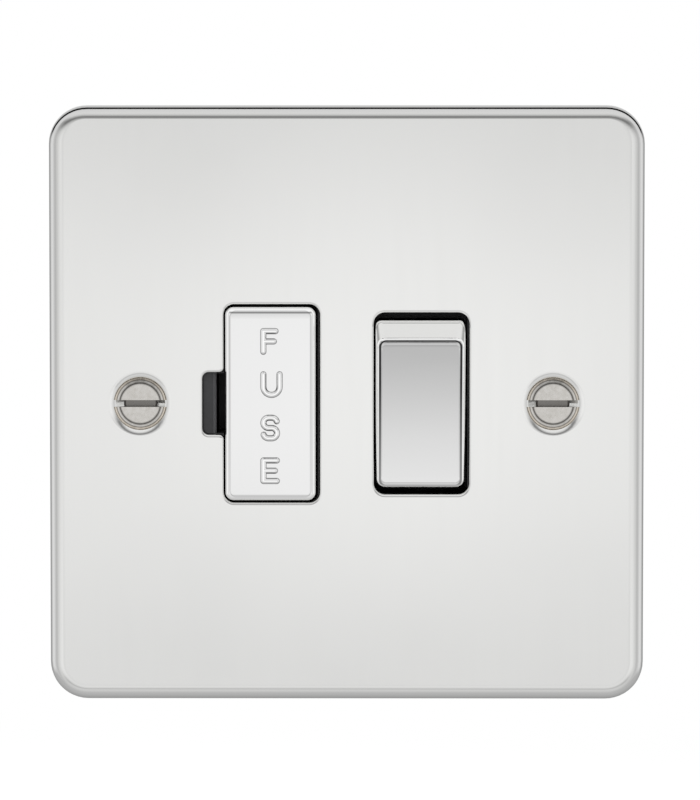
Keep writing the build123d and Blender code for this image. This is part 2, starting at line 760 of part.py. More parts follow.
def moving_tip(pole_x):
    with BuildPart() as tip:
        with BuildSketch(lever_side(pole_x)):
            with BuildLine():
                Polyline(
                    (tip_arm, -dome_centre - tip_dome_radius),
                    (tip_arm, -lever_sheet / 2),
                    (tip_arm + tip_radius, -lever_sheet / 2),
                    (tip_arm + tip_radius, -dome_centre - (tip_dome_radius**2 - tip_radius**2) ** 0.5),
                )
                RadiusArc(
                    (tip_arm + tip_radius, -dome_centre - (tip_dome_radius**2 - tip_radius**2) ** 0.5),
                    (tip_arm, -dome_centre - tip_dome_radius),
                    tip_dome_radius,
                )
            make_face()
        side = lever_side(pole_x)
        revolve(axis=Axis(side.from_local_coords((tip_arm, 0, 0)), side.y_dir))
    return tip.part


# Fixed contacts: a strip on the floor of the switch well that runs to its supply terminal
def supply_strip(pole_x):
    with BuildPart() as strip:
        with BuildSketch(level(strip_front)):
            with Locations((pole_x, tip_arm - 2 * tip_radius)):
                Rectangle(
                    strip_width,
                    terminal_inner - tip_arm + 2 * tip_radius,
                    align=(Align.CENTER, Align.MIN),
                )
        extrude(amount=-strip_sheet)
    return strip.part


def fixed_tip(pole_x):
    with BuildPart() as tip:
        with BuildSketch(level(strip_front)):
            with Locations((pole_x, tip_arm)):
                Circle(tip_radius)
        extrude(amount=fixed_tip_height)
    return tip.part


for pole, pole_x in (("line", line_x), ("neutral", neutral_x)):
    pole_parts = {
        f"{pole}_contact_lever": contact_lever(pole_x),
        f"{pole}_moving_tip": moving_tip(pole_x),
        f"{pole}_supply_strip": supply_strip(pole_x),
        f"{pole}_fixed_tip": fixed_tip(pole_x),
    }
    for pole_name, pole_part in pole_parts.items():
        pole_part.label = pole_name
        export_step(pole_part, f"parts/{pole_name}.step")

# Line fulcrum: a round-topped post on a strip that steps across to the upper fuse clip
clip_middle = fuse_length / 2 - fuse_end_length / 2
with BuildPart() as line_fulcrum:
    with BuildSketch(Plane.YZ.offset(line_x)):
        with Locations((lever_pivot, 0)):
            Circle(fulcrum_radius)
            Rectangle(
                strip_front - lever_pivot, 2 * fulcrum_radius, align=(Align.MIN, Align.CENTER)
            )
    extrude(amount=fulcrum_width / 2, both=True)
    with BuildSketch(Plane.XY.offset(-link_drop)):
        with BuildLine():
            Polyline(
                (line_x + fulcrum_width / 2, strip_front),
                (link_riser, strip_front),
                (link_riser, fuse_strip_front),
                (fuse_x - strip_width / 2, fuse_strip_front),
                (fuse_x - strip_width / 2, fuse_floor),
                (link_riser - strip_sheet, fuse_floor),
                (link_riser - strip_sheet, switch_floor),
                (line_x + fulcrum_width / 2, switch_floor),
                close=True,
            )
        make_face()
    extrude(amount=strip_width / 2, both=True)
    with BuildSketch(level(strip_front)):
        with Locations((line_x, strip_width / 2)):
            Rectangle(fulcrum_width, strip_width + link_drop, align=(Align.CENTER, Align.MAX))
    extrude(amount=-strip_sheet)
    with BuildSketch(level(fuse_strip_front)):
        with Locations((fuse_x, -link_drop)):
            Rectangle(
                strip_width, link_drop + clip_middle + clip_height / 2, align=(Align.CENTER, Align.MIN)
            )
    extrude(amount=-strip_sheet)
line_fulcrum.part.label = "line_fulcrum"
export_step(line_fulcrum.part, "parts/line_fulcrum.step")

# Neutral fulcrum: the same post on a straight strip to the neutral load terminal
with BuildPart() as neutral_fulcrum:
    with BuildSketch(Plane.YZ.offset(neutral_x)):
        with Locations((lever_pivot, 0)):
            Circle(fulcrum_radius)
            Rectangle(
                strip_front - lever_pivot, 2 * fulcrum_radius, align=(Align.MIN, Align.CENTER)
            )
    extrude(amount=fulcrum_width / 2, both=True)
    with BuildSketch(level(strip_front)):
        with Locations((neutral_x, strip_width / 2)):
            Rectangle(
                strip_width, terminal_inner + strip_width / 2, align=(Align.CENTER, Align.MAX)
            )
    extrude(amount=-strip_sheet)
neutral_fulcrum.part.label = "neutral_fulcrum"
export_step(neutral_fulcrum.part, "parts/neutral_fulcrum.step")

# Fuse load strip: from the lower clip to the line load terminal
with BuildPart() as fuse_load_strip:
    with BuildSketch(level(fuse_strip_front)):
        with Locations((fuse_x, -clip_middle + clip_height / 2)):
            Rectangle(
                strip_width,
                terminal_inner - clip_middle + clip_height / 2,
                align=(Align.CENTER, Align.MAX),
            )
    extrude(amount=-strip_sheet)
fuse_load_strip.part.label = "fuse_load_strip"
export_step(fuse_load_strip.part, "parts/fuse_load_strip.step")


# Fuse clips: a sprung channel with a flared mouth
def fuse_clip(middle):
    jaw = fuse_radius + running_gap / 2
    mouth = carrier_rear + clip_mouth_drop
    bend = mouth + clip_flare
    with BuildPart() as clip:
        with BuildSketch(Plane.XY.offset(middle)):
            with BuildLine():
                Polyline(
                    (fuse_x - jaw, clip_front),
                    (fuse_x - jaw, bend),
                    (fuse_x - jaw - clip_flare / 2, mouth),
                    (fuse_x - jaw - clip_flare / 2 - clip_sheet, mouth),
                    (fuse_x - jaw - clip_sheet, bend),
                    (fuse_x - jaw - clip_sheet, clip_front + clip_sheet),
                    (fuse_x + jaw + clip_sheet, clip_front + clip_sheet),
                    (fuse_x + jaw + clip_sheet, bend),
                    (fuse_x + jaw + clip_flare / 2 + clip_sheet, mouth),
                    (fuse_x + jaw + clip_flare / 2, mouth),
                    (fuse_x + jaw, bend),
                    (fuse_x + jaw, clip_front),
                    close=True,
                )
            make_face()
        extrude(amount=clip_height / 2, both=True)
    return clip.part


for clip_name, middle in (("upper_fuse_clip", clip_middle), ("lower_fuse_clip", -clip_middle)):
    clip = fuse_clip(middle)
    clip.label = clip_name
    export_step(clip, f"parts/{clip_name}.step")

# Fuse link: a ceramic tube with a metal cup on each end
tube_half = fuse_length / 2 - fuse_end_wall
with BuildPart() as fuse_tube:
    with BuildSketch(Plane.XY):
        with Locations((fuse_x, fuse_axis)):
            Circle(fuse_tube_radius)
    extrude(amount=tube_half, both=True)
fuse_tube.part.label = "fuse_tube"
export_step(fuse_tube.part, "parts/fuse_tube.step")

with BuildPart() as fuse_ends:
    for row in (-1, 1):
        with BuildSketch(Plane.XY.offset(row * fuse_length / 2)):
            with Locations((fuse_x, fuse_axis)):
                Circle(fuse_radius)
        extrude(amount=-row * fuse_end_length)
        with BuildSketch(Plane.XY.offset(row * tube_half)):
            with Locations((fuse_x, fuse_axis)):
                Circle(fuse_tube_radius)
        extrude(amount=-row * fuse_end_length, mode=Mode.SUBTRACT)
fuse_ends.part.label = "fuse_ends"
export_step(fuse_ends.part, "parts/fuse_ends.step")

# Fuse cover: the plated cap on the carrier's front
with BuildPart() as fuse_cover:
    with BuildSketch(level(cover_rear)):
        with Locations((fuse_x, 0)):
            RectangleRounded(cover_width, cover_height, cover_radius)
    extrude(amount=cover_depth)
    fillet(fuse_cover.faces().sort_by(Axis.Y)[0].edges(), cover_edge_radius)
    with BuildSketch(level(cover_rear)):
        with Locations((fuse_x, 0)):
            RectangleRounded(
                cover_width - 2 * cover_wall, cover_height - 2 * cover_wall, cover_radius - cover_wall / 2
            )
    extrude(amount=cover_depth - cover_wall, mode=Mode.SUBTRACT)
fuse_cover.part.label = "fuse_cover"
export_step(fuse_cover.part, "parts/fuse_cover.step")

# Fuse carrier: a drawer front, a snap cradle for the link and four stop legs
with BuildPart() as fuse_carrier:
    with BuildSketch(level(cover_rear)):
        with Locations((fuse_x, 0)):
            RectangleRounded(cover_width, cover_height, cover_radius)
    extrude(amount=-carrier_depth)
    with BuildSketch(level(cover_rear)):
        with Locations((fuse_x, 0)):
            RectangleRounded(
                cover_width - 2 * cover_wall - 2 * running_gap,
                cover_height - 2 * cover_wall - 2 * running_gap,
                cover_radius - cover_wall / 2,
            )
    extrude(amount=cover_depth - cover_wall)
    with BuildSketch(level(carrier_rear)):
        with Locations((fuse_x, 0)):
            Rectangle(cradle_width, cradle_height)
    extrude(amount=-(fuse_axis + cradle_grip - carrier_rear))
    with BuildSketch(level(carrier_rear)):
        for row in (-1, 1):
            with Locations((fuse_x - leg_offset, 0), (fuse_x + leg_offset, 0)):
                with Locations((0, row * (leg_inner + leg_outer) / 2)):
                    Rectangle(leg_width, leg_sheet)
    extrude(amount=-(leg_end - carrier_rear))
    with BuildSketch(level(lug_front)):
        for row in (-1, 1):
            with Locations((fuse_x - leg_offset, 0), (fuse_x + leg_offset, 0)):
                with Locations((0, row * (leg_inner + lug_outer) / 2)):
                    Rectangle(leg_width, lug_outer - leg_inner)
    extrude(amount=-lug_length)
    with BuildSketch(Plane.XY):
        with Locations((fuse_x, fuse_axis)):
            Circle(fuse_tube_radius + running_gap)
    extrude(amount=cradle_height, both=True, mode=Mode.SUBTRACT)
fuse_carrier.part.label = "fuse_carrier"
export_step(fuse_carrier.part, "parts/fuse_carrier.step")
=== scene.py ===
import json
import math
from functools import partial

import bmesh
import bpy
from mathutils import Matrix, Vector


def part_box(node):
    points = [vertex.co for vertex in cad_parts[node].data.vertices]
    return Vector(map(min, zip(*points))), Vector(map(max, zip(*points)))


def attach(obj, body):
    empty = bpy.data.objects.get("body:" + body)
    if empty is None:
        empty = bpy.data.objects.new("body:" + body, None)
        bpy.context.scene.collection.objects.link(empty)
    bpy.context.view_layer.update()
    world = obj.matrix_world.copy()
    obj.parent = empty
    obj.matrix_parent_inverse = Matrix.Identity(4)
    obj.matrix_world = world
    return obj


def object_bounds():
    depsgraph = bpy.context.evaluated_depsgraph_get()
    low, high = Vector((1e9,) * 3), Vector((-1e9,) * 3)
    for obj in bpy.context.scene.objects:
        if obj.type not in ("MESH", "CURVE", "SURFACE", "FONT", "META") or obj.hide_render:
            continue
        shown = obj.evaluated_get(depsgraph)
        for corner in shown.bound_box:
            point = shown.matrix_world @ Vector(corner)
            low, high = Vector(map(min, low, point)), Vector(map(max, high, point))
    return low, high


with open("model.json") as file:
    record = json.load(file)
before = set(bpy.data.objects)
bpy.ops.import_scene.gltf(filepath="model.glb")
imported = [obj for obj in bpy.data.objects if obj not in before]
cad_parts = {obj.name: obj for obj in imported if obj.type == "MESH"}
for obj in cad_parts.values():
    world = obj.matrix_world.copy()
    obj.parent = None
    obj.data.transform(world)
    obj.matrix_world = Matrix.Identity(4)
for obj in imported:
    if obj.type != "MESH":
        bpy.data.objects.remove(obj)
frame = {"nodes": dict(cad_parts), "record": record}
cadLow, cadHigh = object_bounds()
nodes = frame["nodes"]
scene = bpy.context.scene
milli = 1e-3  # metres in a millimetre
print("frame loaded,", len(nodes), "nodes")


# small helpers for objects
def addObject(name, data):
    thing = bpy.data.objects.new(name, data)
    scene.collection.objects.link(thing)
    return thing


def faceAlong(thing, direction):  # turns a camera or a lamp
    thing.rotation_mode = "QUATERNION"
    thing.rotation_quaternion = direction.to_track_quat("-Z", "Y")


# small helpers for node trees: an input takes another node's output or a plain value
gridSettings = {"row": 8, "across": 220, "down": -320}  # places in the node editor


def setInputs(tree, node, values):
    for name, value in values.items():
        if isinstance(value, bpy.types.NodeSocket):
            tree.links.new(value, node.inputs[name])
        else:
            node.inputs[name].default_value = value


def addNode(tree, kind, inputs=None, **settings):
    row, column = divmod(len(tree.nodes), gridSettings["row"])
    node = tree.nodes.new(kind)
    node.location = (column * gridSettings["across"], row * gridSettings["down"])
    for name, value in settings.items():
        setattr(node, name, value)
    setInputs(tree, node, inputs or {})
    return node


def clearTree(owner):
    owner.use_nodes = True
    owner.node_tree.nodes.clear()
    return owner.node_tree


def mathNode(tree, operation, *values, clamp=False):
    inputs = dict(enumerate(values))
    node = addNode(tree, "ShaderNodeMath", inputs, operation=operation, use_clamp=clamp)
    return node.outputs[0]


def vectorNode(tree, operation, *values, **named):
    inputs = {**dict(enumerate(values)), **named}
    node = addNode(tree, "ShaderNodeVectorMath", inputs, operation=operation)
    return node.outputs["Value" if operation == "LENGTH" else "Vector"]


def partsOf(tree, vector):
    return addNode(tree, "ShaderNodeSeparateXYZ", {"Vector": vector}).outputs


def mapNode(tree, value, start, end, low=0.0, high=1.0, kind="LINEAR"):
    inputs = {"Value": value, "From Min": start, "From Max": end, "To Min": low, "To Max": high}
    node = addNode(tree, "ShaderNodeMapRange", inputs, interpolation_type=kind)
    return node.outputs["Result"]


def opaque(tone):
    return (*tone, 1) if isinstance(tone, tuple) else tone


def mixNode(tree, factor, first, second, **settings):
    inputs = {"Factor": factor, "A": opaque(first), "B": opaque(second)}
    node = addNode(tree, "ShaderNodeMix", inputs, **{"data_type": "RGBA", **settings})
    return node.outputs["Result"]


def rampNode(tree, stops, source):
    node = addNode(tree, "ShaderNodeValToRGB", {"Fac": source})
    elements = node.color_ramp.elements
    while len(elements) < len(stops):
        elements.new(0.5)
    for element, (place, shade) in zip(elements, stops):
        element.position = place
        element.color = (shade, shade, shade, 1)
    return node.outputs["Color"]


def noiseNode(tree, vector, scale, detail, roughness):
    inputs = {"Vector": vector, "Scale": scale, "Detail": detail, "Roughness": roughness}
    return addNode(tree, "ShaderNodeTexNoise", inputs).outputs["Fac"]


def bumpNode(tree, height, distance):
    inputs = {"Strength": 1.0, "Distance": distance, "Height": height}
    return addNode(tree, "ShaderNodeBump", inputs).outputs["Normal"]


socketKinds = {float: "NodeSocketFloat", tuple: "NodeSocketVector"}


def startGroup(name, inputs, outputs, kind="Shader"):  # an input's default, or its kind as text
    group = bpy.data.node_groups.new(name, kind + "NodeTree")
    newSocket = group.interface.new_socket
    for label, value in inputs.items():
        if isinstance(value, str):
            newSocket(label, in_out="INPUT", socket_type=value)
        else:
            socket = newSocket(label, in_out="INPUT", socket_type=socketKinds[type(value)])
            socket.default_value = value
    outputKind = "NodeSocketGeometry" if kind == "Geometry" else "NodeSocketFloat"
    for label in outputs:
        newSocket(label, in_out="OUTPUT", socket_type=outputKind)
    return group, addNode(group, "NodeGroupInput").outputs


# shared surface effects as shader groups: each gives masks and heights, never a shader
def makeHandling():  # soft smudges, fine rub marks and a slow ripple on a polished face
    group, entry = startGroup("handlingMarks", {
        "Vector": "NodeSocketVector",
        "Smudge Scale": 60.0, "Rub Scale": 900.0, "Ripple Scale": 220.0,
    }, ["Smudge", "Rub", "Ripple"])
    plain = entry["Vector"]
    streaked = addNode(group, "ShaderNodeMapping", {
        "Vector": plain, "Rotation": (0.0, 0.5, 0.0), "Scale": (1.0, 1.0, 0.06),
    }).outputs["Vector"]
    addNode(group, "NodeGroupOutput", {
        "Smudge": noiseNode(group, plain, entry["Smudge Scale"], detail=3.0, roughness=0.55),
        "Rub": noiseNode(group, streaked, entry["Rub Scale"], detail=2.0, roughness=0.6),
        "Ripple": noiseNode(group, plain, entry["Ripple Scale"], detail=1.0, roughness=0.4),
    })
    return group


def makeGrain():  # spark grain of a moulded face, with faint flow clouds
    group, entry = startGroup("mouldGrain", {
        "Vector": "NodeSocketVector", "Grain Scale": 4500.0, "Cloud Scale": 120.0,
    }, ["Grain", "Cloud"])
    plain = entry["Vector"]
    addNode(group, "NodeGroupOutput", {
        "Grain": noiseNode(group, plain, entry["Grain Scale"], detail=2.0, roughness=0.6),
        "Cloud": noiseNode(group, plain, entry["Cloud Scale"], detail=3.0, roughness=0.5),
    })
    return group


def makeToolMarks():  # fine parallel lines from turning, rolling or drawing, with dull patches
    group, entry = startGroup("toolMarks", {
        "Vector": "NodeSocketVector", "Line Scale": 5000.0, "Patch Scale": 400.0,
    }, ["Lines", "Patches"])
    plain = entry["Vector"]
    squeezed = addNode(group, "ShaderNodeMapping", {
        "Vector": plain, "Scale": (0.08, 1.0, 0.08),
    }).outputs["Vector"]
    addNode(group, "NodeGroupOutput", {
        "Lines": noiseNode(group, squeezed, entry["Line Scale"], detail=2.0, roughness=0.5),
        "Patches": noiseNode(group, plain, entry["Patch Scale"], detail=4.0, roughness=0.6),
    })
    return group


def makeHeadShade():  # painted shade on a fixing screw: dark lines round its disc where the groove and the gap round the head lie in shade, its slot and slot ends darkened, and a mask for its bevel; in metres
    group, entry = startGroup("headShade", {
        "Vector": "NodeSocketVector", "Across": 0.03015, "Face": -0.0042,
        "Inner": 0.00298, "Inner Width": 0.00024,
        "Outer": 0.00345, "Outer Width": 0.00013, "Outer Shade": 0.8, "Ring Depth": 0.0005,
        "Slot Start": 0.0007, "Slot Floor": 0.00135, "Slot Shade": 0.74,
        "Slot End": 0.00234, "End Width": 0.0003, "End Depth": 0.0014, "End Gain": 2.0,
        "Slot Reach": 0.0034, "Slot Limit": 0.0018,
    }, ["Rings", "Slot", "Bevel"])
    calc = partial(mathNode, group)
    place = partsOf(group, entry["Vector"])
    aside = calc("SUBTRACT", calc("ABSOLUTE", place["X"]), entry["Across"])
    squares = calc("ADD", calc("MULTIPLY", aside, aside), calc("MULTIPLY", place["Z"], place["Z"]))
    radius = calc("SQRT", squares)
    depth = calc("SUBTRACT", place["Y"], entry["Face"])

    def ringAt(centre, width):
        away = calc("ABSOLUTE", calc("SUBTRACT", radius, entry[centre]))
        return calc("SUBTRACT", 1.0, calc("DIVIDE", away, entry[width]), clamp=True)

    outer = calc("MULTIPLY", ringAt("Outer", "Outer Width"), entry["Outer Shade"])
    rings = calc("MAXIMUM", ringAt("Inner", "Inner Width"), outer)
    shallow = calc("LESS_THAN", depth, entry["Ring Depth"])
    sunk = mapNode(group, depth, entry["Slot Start"], entry["Slot Floor"], 0.0, entry["Slot Shade"])
    deep = calc("GREATER_THAN", depth, entry["End Depth"])
    slotEnd = calc("MULTIPLY", ringAt("Slot End", "End Width"), deep)
    low = calc("MAXIMUM", sunk, calc("MULTIPLY", slotEnd, entry["End Gain"], clamp=True))
    near = calc("LESS_THAN", radius, entry["Slot Reach"])
    front = calc("LESS_THAN", depth, entry["Slot Limit"])
    addNode(group, "NodeGroupOutput", {
        "Rings": calc("MULTIPLY", rings, shallow),
        "Slot": calc("MULTIPLY", low, calc("MULTIPLY", near, front)),
        "Bevel": calc("GREATER_THAN", radius, entry["Outer"]),
    })
    return group


# where the painted dark line changes: two heights, as shares of the half height, and its strength
# at each
creaseSettings = {
    "thinning": (0.95, 0.985, 1.0, 0.6),
    "fading": (-1.0, 0.4, 0.6, 1.0),
    "lowerEnd": (-0.995, -0.97, 0.4, 1.0),
    "upperBand": (0.91, 0.97, 0.0, 1.0),
    "tone": (0.02, 0.02, 0.02),
}


def makeCrease():  # painted dark reflection line where a face meets its rounded edge, with painted shade below the top, and a mask for the rounded edge outside it, which gets a painted reflection tone
    group, entry = startGroup("creaseShade", {
        "Vector": "NodeSocketVector", "Centre": "NodeSocketVector", "Tilt": 0.0,
        "Half Width": 0.0059, "Half Height": 0.0109, "Corner": 0.0009,
        "Line Width": 0.0002, "Line Core": 1.0, "Upper Shade": 0.35,
        "Rim Start": 0.0001, "Rim End": 0.00035,
    }, ["Line", "Rim"])
    calc = partial(mathNode, group)
    turned = addNode(group, "ShaderNodeVectorRotate", {
        "Vector": entry["Vector"], "Center": entry["Centre"],
        "Angle": calc("MULTIPLY", entry["Tilt"], -1.0),
    }, rotation_type="X_AXIS").outputs["Vector"]
    place = partsOf(group, vectorNode(group, "SUBTRACT", turned, entry["Centre"]))
    corner, half = entry["Corner"], entry["Half Height"]

    # distance from the rounded outline of the face, less than zero inside it
    straight = calc("SUBTRACT", entry["Half Width"], corner)
    across = calc("SUBTRACT", calc("ABSOLUTE", place["X"]), straight)
    along = calc("SUBTRACT", calc("ABSOLUTE", place["Z"]), calc("SUBTRACT", half, corner))
    outerX, outerZ = calc("MAXIMUM", across, 0.0), calc("MAXIMUM", along, 0.0)
    squares = calc("ADD", calc("MULTIPLY", outerX, outerX), calc("MULTIPLY", outerZ, outerZ))
    inside = calc("MINIMUM", calc("MAXIMUM", across, along), 0.0)
    away = calc("SUBTRACT", calc("ADD", calc("SQRT", squares), inside), corner)

    height = calc("DIVIDE", place["Z"], half)
    thinning, fading, lowerEnd, upperBand = (
        mapNode(group, height, *creaseSettings[label])
        for label in ("thinning", "fading", "lowerEnd", "upperBand"))
    width = calc("MULTIPLY", entry["Line Width"], thinning)
    slope = calc("SUBTRACT", 1.0, calc("DIVIDE", calc("ABSOLUTE", away), width), clamp=True)
    line = calc("MULTIPLY", slope, entry["Line Core"], clamp=True)
    faded = calc("MULTIPLY", calc("MULTIPLY", line, fading), lowerEnd)
    upper = calc("MULTIPLY", upperBand, calc("LESS_THAN", away, 0.0))
    addNode(group, "NodeGroupOutput", {
        "Line": calc("MAXIMUM", faded, calc("MULTIPLY", upper, entry["Upper Shade"])),
        "Rim": mapNode(group, away, entry["Rim Start"], entry["Rim End"]),
    })
    return group


handlingGroup = makeHandling()
headGroup = makeHeadShade()
creaseGroup = makeCrease()
grainGroup = makeGrain()
toolGroup = makeToolMarks()
print("surface groups built")


# materials
def effectNode(tree, group, values=None):  # a surface group in the piece's own coordinates
    coords = addNode(tree, "ShaderNodeTexCoord")
    inputs = {"Vector": coords.outputs["Object"], **(values or {})}
    return addNode(tree, "ShaderNodeGroup", inputs, node_tree=group).outputs


def startMaterial(name, group, values=None):
    material = bpy.data.materials.new(name)
    tree = clearTree(material)
    shader = addNode(tree, "ShaderNodeBsdfPrincipled")
    addNode(tree, "ShaderNodeOutputMaterial", {"Surface": shader.outputs["BSDF"]})
    return material, tree, shader, effectNode(tree, group, values)


def overlay(material, mask, tone, **settings):  # lays a tone over the colour so far
    tree = material.node_tree
    colour = tree.nodes["Principled BSDF"].inputs["Base Color"]
    tree.links.new(mixNode(tree, mask, colour.links[0].from_socket, tone, **settings), colour)


noiseSpan = (0.3, 0.7)  # most of a noise lies between these
wornSpan = (0.1, 0.4)  # and most of the product of two


def chromeFinish(name, dark, light, rough, ripple):
    material, tree, shader, marks = startMaterial(name, handlingGroup)
    worn = mathNode(tree, "MULTIPLY", marks["Smudge"], marks["Rub"])
    setInputs(tree, shader, {
        "Metallic": 1.0,
        "Base Color": mixNode(tree, marks["Smudge"], dark, light),
        "Roughness": mapNode(tree, worn, *wornSpan, *rough),
        "Normal": bumpNode(tree, marks["Ripple"], ripple),
    })
    return material


def controlFinish(name, rim, lineShade, crease, **chrome):
    material = chromeFinish(name, **chrome)
    tree = material.node_tree
    shade = effectNode(tree, creaseGroup, crease)
    # painted reflection: the rounded edge outside the face takes the rim tone, lighter on the
    # rocker and cover, darker on the plate
    overlay(material, shade["Rim"], rim)
    # painted shade: the dark line along the crease and the band below the top
    line = mathNode(tree, "MULTIPLY", shade["Line"], lineShade)
    overlay(material, line, creaseSettings["tone"])
    return material


def letterFinish(name, light, footShade, **polish):
    material = chromeFinish(name, light, light, **polish)
    # painted shade: the foot of each ridge darkened to footShade of the tone
    foot = addNode(material.node_tree, "ShaderNodeAttribute", attribute_name="foot")
    overlay(material, foot.outputs["Fac"], tuple(footShade * value for value in light))
    return material


def metalFinish(name, dark, light, rough, lineDepth, patchScale=400.0):
    material, tree, shader, marks = startMaterial(name, toolGroup, {"Patch Scale": patchScale})
    patches = mapNode(tree, marks["Patches"], *noiseSpan)
    setInputs(tree, shader, {
        "Metallic": 1.0,
        "Base Color": mixNode(tree, patches, dark, light),
        "Roughness": mapNode(tree, marks["Patches"], *noiseSpan, *rough),
        "Normal": bumpNode(tree, marks["Lines"], lineDepth),
    })
    return material


def screwFinish(name, paintedShade, paintedShadeShare, bevel, **metal):
    material = metalFinish(name, **metal)
    calc = partial(mathNode, material.node_tree)
    shade = effectNode(material.node_tree, headGroup)
    # painted shade: the bevel tinted tan and a little darker
    overlay(material, shade["Bevel"], bevel, blend_type="MULTIPLY")
    # painted shade in the groove round the disc, the gap round the head and the slot
    paintedShadeMask = calc("MAXIMUM", shade["Rings"], shade["Slot"])
    overlay(material, calc("MULTIPLY", paintedShadeMask, paintedShadeShare), paintedShade)
    return material


def mouldedFinish(name, dark, light, rough, grainDepth, grainScale=4500.0):
    material, tree, shader, marks = startMaterial(name, grainGroup, {"Grain Scale": grainScale})
    clouds = mapNode(tree, marks["Cloud"], *noiseSpan)
    setInputs(tree, shader, {
        "Base Color": mixNode(tree, clouds, dark, light),
        "Roughness": mapNode(tree, marks["Grain"], *noiseSpan, *rough),
        "Normal": bumpNode(tree, marks["Grain"], grainDepth),
    })
    return material


# painted highlight along the edge of the prising ledge, lighter than the black moulding: its sides,
# half height and back in metres
ledgeSettings = {
    "left": -0.01945, "right": -0.01904, "half": 0.0045, "behind": -0.0025,
    "pale": (0.075, 0.075, 0.078),
}


def ledgeFinish(name, **moulded):
    material = mouldedFinish(name, **moulded)
    tree = material.node_tree
    calc = partial(mathNode, tree)
    place = partsOf(tree, addNode(tree, "ShaderNodeTexCoord").outputs["Object"])
    fromLeft = calc("GREATER_THAN", place["X"], ledgeSettings["left"])
    inside = calc("MULTIPLY", fromLeft, calc("LESS_THAN", place["X"], ledgeSettings["right"]))
    level = calc("LESS_THAN", calc("ABSOLUTE", place["Z"]), ledgeSettings["half"])
    front = calc("LESS_THAN", place["Y"], ledgeSettings["behind"])
    highlightMask = calc("MULTIPLY", inside, calc("MULTIPLY", level, front))
    # painted highlight laid on the ledge's edge
    overlay(material, highlightMask, ledgeSettings["pale"])
    return material


# values that several finishes share, depths of their relief in metres
finePolish = {"rough": (0.03, 0.06), "ripple": 1.0e-7}
# the rim tone is a painted reflection on the rounded edges of the rocker and the cover, lighter
# than their faces
controlTones = {
    "dark": (0.79, 0.79, 0.79), "light": (0.81, 0.81, 0.808), "rim": (0.96, 0.96, 0.955),
}
blackPlastic = {
    "dark": (0.012, 0.012, 0.013), "light": (0.022, 0.022, 0.024),
    "rough": (0.38, 0.52), "grainDepth": 6.0e-6,
}
finishes = {
    # painted reflection on the plate: its rolled edge darker than the face, and a soft painted dark
    # band inside the edge
    "plate_chrome": controlFinish(
        "plateChrome", dark=(0.775, 0.775, 0.765), light=(0.8, 0.8, 0.788),
        rim=(0.68, 0.68, 0.675), lineShade=0.2, rough=(0.07, 0.1), ripple=2.0e-7,
        crease={"Half Width": 0.0421, "Half Height": 0.0421, "Corner": 0.0042, "Line Width": 0.001,
                "Upper Shade": 0.0, "Rim Start": 0.00016, "Rim End": 0.00056}),
    "rocker_chrome": controlFinish(
        "rockerChrome", **controlTones, **finePolish, lineShade=0.97,
        crease={"Centre": (0.01078, 0.00158, 0.0), "Tilt": math.radians(10.0),
                "Half Width": 0.00589, "Half Height": 0.01083,
                "Line Width": 0.00021, "Line Core": 2.5}),
    "cover_chrome": controlFinish(
        "coverChrome", **controlTones, **finePolish, lineShade=0.5,
        crease={"Centre": (-0.0111, 0.0, 0.0), "Half Width": 0.0059, "Half Height": 0.01355,
                "Line Width": 0.00012, "Rim Start": 0.00005, "Rim End": 0.00017}),
    # painted highlight: the letters get a lighter chrome tone than the cover they stand on
    "letter_chrome": letterFinish(
        "letterChrome", light=(0.92, 0.92, 0.92), footShade=0.2, **finePolish),
    # painted shade and tint on the screw heads, from the headShade group
    "nickel": screwFinish(
        "screwNickel", dark=(0.56, 0.54, 0.505), light=(0.74, 0.72, 0.69),
        paintedShade=(0.03, 0.027, 0.024), paintedShadeShare=0.95, bevel=(0.98, 0.92, 0.84),
        rough=(0.22, 0.36), lineDepth=4.0e-6, patchScale=1400.0),
    "zinc": metalFinish(
        "zincPlate", dark=(0.55, 0.56, 0.58), light=(0.68, 0.69, 0.7),
        rough=(0.25, 0.4), lineDepth=3.0e-6),
    "spring_steel": metalFinish(
        "drawnSteel", dark=(0.38, 0.38, 0.39), light=(0.5, 0.5, 0.5),
        rough=(0.25, 0.4), lineDepth=2.0e-6),
    "brass": metalFinish(
        "terminalBrass", dark=(0.62, 0.44, 0.17), light=(0.76, 0.57, 0.27),
        rough=(0.2, 0.38), lineDepth=3.0e-6),
    "copper": metalFinish(
        "leverCopper", dark=(0.6, 0.3, 0.18), light=(0.74, 0.42, 0.28),
        rough=(0.22, 0.38), lineDepth=2.0e-6),
    "silver": metalFinish(
        "contactSilver", dark=(0.74, 0.74, 0.72), light=(0.86, 0.86, 0.84),
        rough=(0.2, 0.35), lineDepth=1.0e-6),
    "black_moulding": mouldedFinish("blackMoulding", **blackPlastic),
    "ledge_moulding": ledgeFinish("ledgeMoulding", **blackPlastic),
    "nylon": mouldedFinish(
        "plungerNylon", dark=(0.72, 0.71, 0.67), light=(0.8, 0.79, 0.75),
        rough=(0.3, 0.42), grainDepth=3.0e-6),
    "ceramic": mouldedFinish(
        "fuseCeramic", dark=(0.72, 0.69, 0.62), light=(0.8, 0.77, 0.7),
        rough=(0.35, 0.5), grainDepth=4.0e-6, grainScale=3000.0),
}
ownFinish = {
    "fuse_cover": "cover_chrome", "rocker_cap": "rocker_chrome", "front_moulding": "ledge_moulding",
}
for subpart in frame["record"]["subparts"]:
    name = subpart["node"]
    mesh = nodes[name].data
    mesh.materials.clear()
    mesh.materials.append(finishes[ownFinish.get(name, subpart["material_slot"])])
print("finishes on", len(nodes), "nodes")


